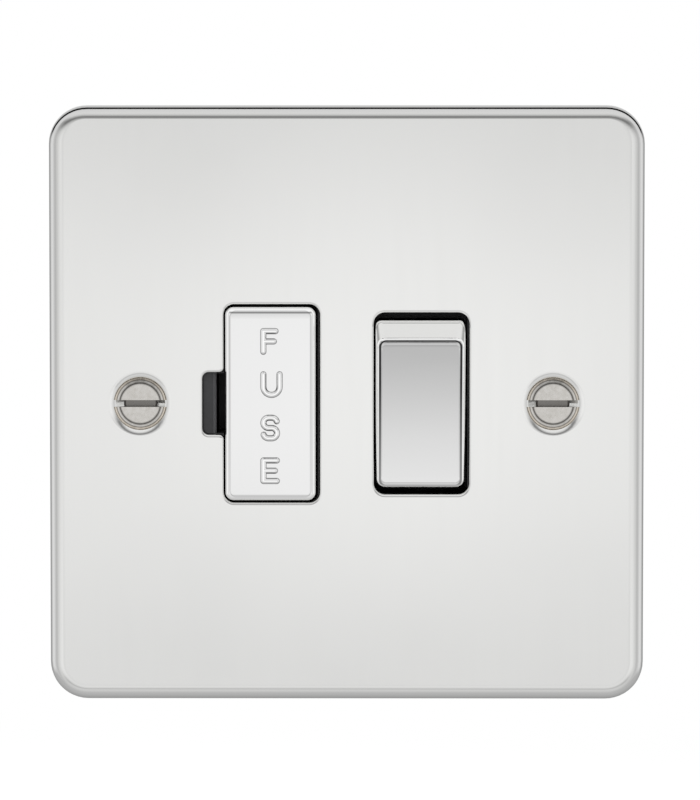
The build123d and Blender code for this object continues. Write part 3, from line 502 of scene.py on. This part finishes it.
# shapes from geometry groups
def endShape(tree, geometry, finish):
    real = addNode(tree, "GeometryNodeRealizeInstances", {"Geometry": geometry})
    coat = addNode(tree, "GeometryNodeSetMaterial", {
        "Geometry": real.outputs["Geometry"], "Material": finish,
    })
    addNode(tree, "NodeGroupOutput", {"Geometry": coat.outputs["Geometry"]})
    return tree


# shares of a ridge's reach, and the weld in metres
ridgeSettings = {"margin": 2.4, "footStart": 0.58, "footEnd": 0.82, "weld": 1e-7}


def makeRidgeTree():  # a ridge that follows strokes drawn in a face's plane
    tree, entry = startGroup("strokeRidge", {
        "Geometry": "NodeSocketGeometry", "Cell": 0.05e-3, "Crown": 0.1e-3, "Reach": 0.45e-3,
        "Height": 0.25e-3, "Sink": 0.02e-3, "Facing": (0.0, -1.0, 0.0),
        "Finish": "NodeSocketMaterial",
    }, ["Geometry"], "Geometry")
    calc, vector = partial(mathNode, tree), partial(vectorNode, tree)
    reach = entry["Reach"]
    strokes = addNode(tree, "GeometryNodeCurveToMesh", {
        "Curve": entry["Geometry"],
    }).outputs["Mesh"]
    bounds = addNode(tree, "GeometryNodeBoundBox", {"Geometry": strokes}).outputs
    size = partsOf(tree, vector("SUBTRACT", bounds["Max"], bounds["Min"]))
    middle = vector("MULTIPLY", vector("ADD", bounds["Max"], bounds["Min"]), (0.5, 0.5, 0.5))

    # a fine sheet over the strokes, cut back to their reach
    margin = calc("MULTIPLY", reach, ridgeSettings["margin"])
    spans = {}
    for side, extent in (("X", "X"), ("Y", "Z")):
        length = calc("ADD", size[extent], margin)
        spans["Size " + side] = length
        spans["Vertices " + side] = calc("CEIL", calc("DIVIDE", length, entry["Cell"]))
    sheet = addNode(tree, "GeometryNodeMeshGrid", spans)
    stand = addNode(tree, "GeometryNodeTransform", {
        "Geometry": sheet.outputs["Mesh"], "Translation": middle, "Rotation": (math.pi / 2, 0, 0),
    })
    near = addNode(tree, "GeometryNodeProximity", {0: strokes}, target_element="EDGES")
    distance = near.outputs["Distance"]
    trim = addNode(tree, "GeometryNodeDeleteGeometry", {
        "Geometry": stand.outputs["Geometry"], "Selection": calc("GREATER_THAN", distance, reach),
    }, domain="POINT")

    # lifted along the strokes, with its foot kept as a mask, which the letter finish darkens as
    # painted shade
    fall = mapNode(tree, distance, entry["Crown"], reach, 1.0, 0.0, kind="SMOOTHSTEP")
    rise = calc("SUBTRACT", calc("MULTIPLY", fall, entry["Height"]), entry["Sink"])
    lift = addNode(tree, "GeometryNodeSetPosition", {
        "Geometry": trim.outputs["Geometry"],
        "Offset": vector("SCALE", entry["Facing"], Scale=rise),
    })
    footSpan = [calc("MULTIPLY", reach, ridgeSettings[end]) for end in ("footStart", "footEnd")]
    keep = addNode(tree, "GeometryNodeStoreNamedAttribute", {
        "Geometry": lift.outputs["Geometry"], "Name": "foot",
        "Value": mapNode(tree, distance, *footSpan, kind="SMOOTHSTEP"),
    }, data_type="FLOAT", domain="POINT")
    return endShape(tree, keep.outputs["Geometry"], entry["Finish"])


def lengthsOf(settings, *labels):  # inputs in metres from settings in millimetres
    return {label: settings[label.lower()] * milli for label in labels}


def bakeTree(source, tree, values):
    modifier = source.modifiers.new("build", "NODES")
    modifier.node_group = tree
    sockets = {s.name: s.identifier for s in tree.interface.items_tree if s.in_out == "INPUT"}
    for label, value in values.items():
        modifier[sockets[label]] = value
    bpy.context.view_layer.update()
    graph = bpy.context.evaluated_depsgraph_get()
    mesh = bpy.data.meshes.new_from_object(source.evaluated_get(graph))
    bpy.data.objects.remove(source)
    return mesh


def placePiece(name, mesh, body):
    mesh.name = name
    piece = addObject(name, mesh)
    for polygon in mesh.polygons:
        polygon.use_smooth = True
    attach(piece, body)
    return piece


def strokeCurve(name, strokes, depth):
    curve = bpy.data.curves.new(name, "CURVE")
    curve.dimensions = "3D"
    for points in strokes:
        spline = curve.splines.new("POLY")
        spline.points.add(len(points) - 1)
        for point, (x, z) in zip(spline.points, points):
            point.co = (x * milli, depth, z * milli, 1)
    return addObject(name, curve)


def closeUnder(mesh, facing):  # caps the open underside of a ridge, inside the face it stands on
    work = bmesh.new()
    work.from_mesh(mesh)
    bmesh.ops.remove_doubles(work, verts=work.verts, dist=ridgeSettings["weld"])
    for face in work.faces:
        if face.normal.dot(facing) < 0:
            face.normal_flip()
    rim = [edge for edge in work.edges if edge.is_boundary]
    cap = bmesh.ops.triangle_fill(
        work, use_beauty=True, use_dissolve=False, edges=rim, normal=-facing)
    for face in cap["geom"]:
        if isinstance(face, bmesh.types.BMFace) and face.normal.dot(facing) > 0:
            face.normal_flip()
    work.to_mesh(mesh)
    work.free()


ridgeTree = makeRidgeTree()


def raiseStrokes(name, strokes, depth, facing, settings, finish):
    values = lengthsOf(settings, "Cell", "Crown", "Reach", "Height", "Sink")
    values.update({"Facing": facing, "Finish": finishes[finish]})
    mesh = bakeTree(strokeCurve(name, strokes, depth), ridgeTree, values)
    closeUnder(mesh, Vector(facing))
    return mesh


def arc(centre, radius, start, end, steps=14):
    turn = [math.radians(start + (end - start) * i / steps) for i in range(steps + 1)]
    return [(centre[0] + radius * math.cos(a), centre[1] + radius * math.sin(a)) for a in turn]


# shares of a sign's width or height, and the angle in degrees at which the bows of an S end
signSettings = {
    "middleBar": 0.86, "bowEnd": 18,
    "earthBars": ((0.95, 0.5), (0.6, 0.75), (0.25, 1.0)),  # half width and drop of each
}


def letterStrokes(letter, wide, tall):
    half = tall / 2
    middleBar = [(0, -half), (wide * signSettings["middleBar"], -half)]
    if letter == "F":
        return [[(0, -tall), (0, 0), (wide, 0)], middleBar]
    if letter == "E":
        return [[(wide, 0), (0, 0), (0, -tall), (wide, -tall)], middleBar]
    if letter == "U":
        bend = wide / 2
        return [[(0, 0), *arc((bend, bend - tall), bend, 180, 360), (wide, 0)]]
    if letter == "L":
        return [[(0, 0), (0, -tall), (wide, -tall)]]
    if letter == "N":
        return [[(0, -tall), (0, 0), (wide, -tall), (wide, 0)]]
    if letter == "earth":
        centre = wide / 2
        bars = [[(centre - half * w, -tall * h), (centre + half * w, -tall * h)]
                for w, h in signSettings["earthBars"]]
        return [[(centre, 0), (centre, -half)], *bars]
    bow, end = tall / 4, signSettings["bowEnd"]  # an S is left
    side = wide - bow
    upper = [*arc((side, -bow), bow, end, 90), *arc((bow, -bow), bow, 90, 270)]
    lower = [*arc((side, bow - tall), bow, 90, -90), *arc((bow, bow - tall), bow, 270, 180 + end)]
    return [upper + lower]


# plain word on the fuse cover, one letter above the next, sizes in millimetres
letterSettings = {
    "left": -12.12, "tops": (10.63, 4.33, -2.0, -8.24), "tall": 3.0,
    "wide": {"F": 1.77, "U": 2.36, "S": 1.97, "E": 1.94},
    "cell": 0.035, "crown": 0.1, "reach": 0.53, "height": 0.34, "sink": 0.03,
}


def makeLettering():
    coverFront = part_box("fuse_cover")[0].y
    strokes = []
    for letter, top in zip("FUSE", letterSettings["tops"]):
        for path in letterStrokes(letter, letterSettings["wide"][letter], letterSettings["tall"]):
            strokes.append([(letterSettings["left"] + x, top + z) for x, z in path])
    mesh = raiseStrokes(
        "letterPaths", strokes, coverFront, (0.0, -1.0, 0.0), letterSettings, "letter_chrome")
    return placePiece("fuse_lettering", mesh, "fuse_drawer")


lettering = makeLettering()
print("lettering", len(lettering.data.polygons), "faces")

# plain terminal marks on the moulding's back: sign, distance across and row, in millimetres
markSettings = {
    "marks": (("L", 4.48, 1), ("N", 17.08, 1), ("earth", -11.1, 1), ("L", -11.1, -1),
              ("N", 14.18, -1)),
    "tall": 2.1, "wide": {"L": 1.2, "N": 1.5, "earth": 1.5}, "middle": 15.1,
    "cell": 0.06, "crown": 0.06, "reach": 0.28, "height": 0.22, "sink": 0.02,
}


def makeMarks():
    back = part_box("base_moulding")[1].y
    strokes = []
    for sign, across, row in markSettings["marks"]:
        wide, tall = markSettings["wide"][sign], markSettings["tall"]
        top = row * markSettings["middle"] + tall / 2
        for path in letterStrokes(sign, wide, tall):
            strokes.append([(across + wide / 2 - x, top + z) for x, z in path])
    mesh = raiseStrokes(
        "markPaths", strokes, back, (0.0, 1.0, 0.0), markSettings, "black_moulding")
    return placePiece("terminal_marks", mesh, "unit")


marks = makeMarks()
print("terminal marks", len(marks.data.polygons), "faces")

# wound thread on the fixing screws, sizes in millimetres
threadSettings = {
    "pitch": 0.6, "turns": 33.0, "radius": 1.7, "ridge": 0.14, "across": 30.15, "start": -0.4,
    "steps": 24, "corners": 4,  # steps in a turn, and corners of the ridge's section
}


def makeThreadTree():  # a wound ridge at each point given
    tree, entry = startGroup("screwThread", {
        "Geometry": "NodeSocketGeometry", "Pitch": 0.6e-3, "Turns": 30.0, "Radius": 1.7e-3,
        "Ridge": 0.15e-3, "Finish": "NodeSocketMaterial",
    }, ["Geometry"], "Geometry")
    winding = addNode(tree, "GeometryNodeCurveSpiral", {
        "Resolution": threadSettings["steps"], "Rotations": entry["Turns"],
        "Start Radius": entry["Radius"], "End Radius": entry["Radius"],
        "Height": mathNode(tree, "MULTIPLY", entry["Pitch"], entry["Turns"]),
    })
    section = addNode(tree, "GeometryNodeCurvePrimitiveCircle", {
        "Resolution": threadSettings["corners"], "Radius": entry["Ridge"],
    })
    ridge = addNode(tree, "GeometryNodeCurveToMesh", {
        "Curve": winding.outputs["Curve"], "Profile Curve": section.outputs["Curve"],
        "Fill Caps": True,
    })
    lay = addNode(tree, "GeometryNodeTransform", {
        "Geometry": ridge.outputs["Mesh"], "Rotation": (-math.pi / 2, 0, 0),
    })
    repeat = addNode(tree, "GeometryNodeInstanceOnPoints", {
        "Points": entry["Geometry"], "Instance": lay.outputs["Geometry"],
    })
    return endShape(tree, repeat.outputs["Instances"], entry["Finish"])


def makeThreads():
    points = bpy.data.meshes.new("threadPlaces")
    across, start = threadSettings["across"] * milli, threadSettings["start"] * milli
    points.from_pydata([(-across, start, 0), (across, start, 0)], [], [])
    values = lengthsOf(threadSettings, "Pitch", "Radius", "Ridge")
    values.update({"Turns": threadSettings["turns"], "Finish": finishes["nickel"]})
    mesh = bakeTree(addObject("threadPlaces", points), makeThreadTree(), values)
    return placePiece("fixing_threads", mesh, "unit")


threads = makeThreads()
print("threads", len(threads.data.polygons), "faces")

# camera at the photograph's angle, angles in degrees, sensor and lens in millimetres
cameraSettings = {
    "azimuth": 0.4, "elevation": 3.12, "distance": 0.6, "aim": (0, -0.002, 0),
    "sensor": 36.0, "lens": 184.24, "shift": (0.0041, 0.0035), "clip": (0.01, 20.0),
}


def makeCamera():
    data = bpy.data.cameras.new("photoCamera")
    camera = addObject("photoCamera", data)
    turn, rise = (math.radians(cameraSettings[angle]) for angle in ("azimuth", "elevation"))
    level = math.cos(rise)
    back = Vector((math.sin(turn) * level, -math.cos(turn) * level, math.sin(rise)))
    camera.location = Vector(cameraSettings["aim"]) + back * cameraSettings["distance"]
    faceAlong(camera, -back)
    data.sensor_width = cameraSettings["sensor"]
    data.lens = cameraSettings["lens"]
    data.shift_x, data.shift_y = cameraSettings["shift"]
    data.clip_start, data.clip_end = cameraSettings["clip"]
    scene.camera = camera


makeCamera()

# studio: white round the object for the camera, soft cards with dark gaps for the metal
# angles from the front are shares of a half turn; a card is a list of angle and shade
studioSettings = {
    "aim": (0.0, -0.05),  # sideways and upward lean of the hot centre of the front card
    "above": [
        (0.0, 1.09), (0.011, 1.055), (0.022, 0.86), (0.045, 0.78), (0.07, 0.5), (0.095, 0.26),
        (0.125, 0.3), (0.165, 0.62), (0.21, 0.9), (0.28, 0.98), (0.46, 0.93), (0.502, 0.87),
        (0.507, 0.0), (0.605, 0.0), (0.622, 0.4), (0.65, 0.75), (1.0, 0.85)],
    "beside": [
        (0.0, 1.09), (0.012, 1.06), (0.022, 1.0), (0.04, 0.98), (0.09, 1.04), (0.13, 1.05),
        (0.18, 1.0), (0.23, 0.92), (0.28, 0.82), (0.33, 0.72), (0.37, 0.72), (0.42, 0.86),
        (0.48, 1.0), (0.54, 1.06), (0.59, 1.0), (0.64, 0.87), (0.69, 0.58), (0.74, 0.44),
        (1.0, 0.42)],
    "below": [
        (0.0, 1.09), (0.011, 1.045), (0.022, 0.86), (0.05, 0.95), (0.07, 0.98), (0.1, 0.88),
        (0.15, 0.61), (0.158, 0.61), (0.185, 0.8), (0.25, 0.77), (0.3, 0.7), (0.36, 0.66),
        (0.45, 0.66), (0.6, 0.55), (0.8, 0.4), (1.0, 0.35)],
    "gapAbove": (0.27, 0.78),  # places of the near and far gaps, as shares of those at the sides
    "gapBelow": 0.8,
    "gapSpan": (0.38, 0.52),  # angles between the near gap above and the far one
    "frontSpan": (0.025, 0.06),  # angles at the edge of the front card, where nothing is moved
    "farSpan": (0.4, 0.5),  # angles between the near cards and the far ones
    "reach": (1.0, 3.0),  # how far near and far cards reach round the corners
    "delay": (2.0, 0.7),  # and how late their gaps turn there
    "cornerSpan": (0.05, 0.55),  # steepness between a card beside and one above or below
    "horizon": 8.0,  # how sharply above and below part
    "fill": 0.75,  # shade for the rough pieces
    "tiny": 1e-6,  # keeps a divisor off zero
}


def makeWorld():
    world = bpy.data.worlds.new("studio")
    scene.world = world
    tree = clearTree(world)
    calc, spread, blend = partial(mathNode, tree), partial(mapNode, tree), partial(mixNode, tree)
    aimX, aimZ = studioSettings["aim"]
    around = addNode(tree, "ShaderNodeTexCoord").outputs["Generated"]
    aimed = vectorNode(tree, "SUBTRACT", around, (aimX, 0.0, aimZ))
    unit = partsOf(tree, vectorNode(tree, "NORMALIZE", aimed))
    angle = calc("DIVIDE", calc("ARCCOSINE", calc("MULTIPLY", unit["Y"], -1.0)), math.pi)
    across, upright = (calc("MULTIPLY", unit[axis], unit[axis]) for axis in ("X", "Z"))
    whole = calc("ADD", calc("ADD", across, upright), studioSettings["tiny"])
    steep = calc("DIVIDE", upright, whole)
    reach = spread(angle, *studioSettings["farSpan"], *studioSettings["reach"])
    corner = calc("MULTIPLY", steep, reach)
    share = spread(corner, *studioSettings["cornerSpan"], kind="SMOOTHSTEP")
    isUp = calc("MULTIPLY_ADD", unit["Z"], studioSettings["horizon"], 0.5, clamp=True)

    nearGap, farGap = studioSettings["gapAbove"]
    lean = spread(angle, *studioSettings["gapSpan"], nearGap, farGap)
    front = spread(angle, *studioSettings["frontSpan"], 1.0, nearGap)
    delay = spread(angle, *studioSettings["farSpan"], *studioSettings["delay"])
    turn = calc("POWER", steep, delay)

    def stretched(least):  # lets the gaps of two cards meet where one turns into the other
        gain = calc("MULTIPLY", calc("SUBTRACT", 1.0, least), turn)
        turned = calc("MULTIPLY", angle, calc("ADD", gain, least))
        return turned, calc("DIVIDE", turned, least)

    upAngle, upBeside = stretched(calc("MAXIMUM", lean, front))
    downAngle, downBeside = stretched(studioSettings["gapBelow"])
    above = rampNode(tree, studioSettings["above"], upAngle)
    below = rampNode(tree, studioSettings["below"], downAngle)
    sideways = blend(isUp, downBeside, upBeside, data_type="FLOAT")
    beside = rampNode(tree, studioSettings["beside"], sideways)
    cards = blend(share, beside, blend(isUp, below, above))
    path = addNode(tree, "ShaderNodeLightPath").outputs
    lit = blend(path["Is Glossy Ray"], (studioSettings["fill"],) * 3, cards)
    clear = calc("MAXIMUM", path["Is Camera Ray"], path["Is Transmission Ray"])
    sky = addNode(tree, "ShaderNodeBackground", {"Color": blend(clear, lit, (1.0, 1.0, 1.0))})
    addNode(tree, "ShaderNodeOutputWorld", {"Surface": sky.outputs["Background"]})


makeWorld()

# lamps for the dark mouldings and the floor's shadow, in metres and watts
lampSettings = {
    "top": {"place": (-0.25, -0.45, 0.6), "size": 0.5, "power": 4.0},
    "side": {"place": (0.6, -0.35, 0.2), "size": 0.5, "power": 2.0},
    "back": {"place": (-0.3, 0.6, 0.4), "size": 0.5, "power": 4.0},
}


def makeLamps():
    for name, lamp in lampSettings.items():
        data = bpy.data.lights.new(name + "Lamp", "AREA")
        data.size = lamp["size"]
        data.energy = lamp["power"]
        light = addObject(name + "Lamp", data)
        light.location = lamp["place"]
        faceAlong(light, -Vector(lamp["place"]))
        light.visible_glossy = False


makeLamps()

# floor that goes over into plain white, in metres
floorSettings = {
    "drop": 0.12, "radius": 1.6, "segments": 96, "plainSpan": (0.35, 0.9), "shade": 0.86,
}


def makeFloor():
    work = bmesh.new()
    bmesh.ops.create_circle(
        work, cap_ends=True, cap_tris=True,
        segments=floorSettings["segments"], radius=floorSettings["radius"])
    for vertex in work.verts:
        vertex.co.z = cadLow.z - floorSettings["drop"]
    mesh = bpy.data.meshes.new("studioFloor")
    work.to_mesh(mesh)
    work.free()
    floor = addObject("studioFloor", mesh)
    material = bpy.data.materials.new("floorPaint")
    tree = clearTree(material)
    paint = addNode(tree, "ShaderNodeBsdfDiffuse", {"Color": opaque((floorSettings["shade"],) * 3)})
    white = addNode(tree, "ShaderNodeEmission")
    coords = addNode(tree, "ShaderNodeTexCoord")
    flat = vectorNode(tree, "MULTIPLY", coords.outputs["Object"], (1, 1, 0))
    away = vectorNode(tree, "LENGTH", flat)
    fade = mapNode(tree, away, *floorSettings["plainSpan"], kind="SMOOTHSTEP")
    path = addNode(tree, "ShaderNodeLightPath")
    blend = addNode(tree, "ShaderNodeMixShader", {
        "Fac": mathNode(tree, "MULTIPLY", fade, path.outputs["Is Camera Ray"]),
        1: paint.outputs["BSDF"], 2: white.outputs["Emission"],
    })
    addNode(tree, "ShaderNodeOutputMaterial", {"Surface": blend.outputs["Shader"]})
    mesh.materials.append(material)
    floor.visible_glossy = False  # the cards stand for it in the metal


makeFloor()
scene.view_settings.view_transform = "Standard"
print("studio, lamps and floor set")
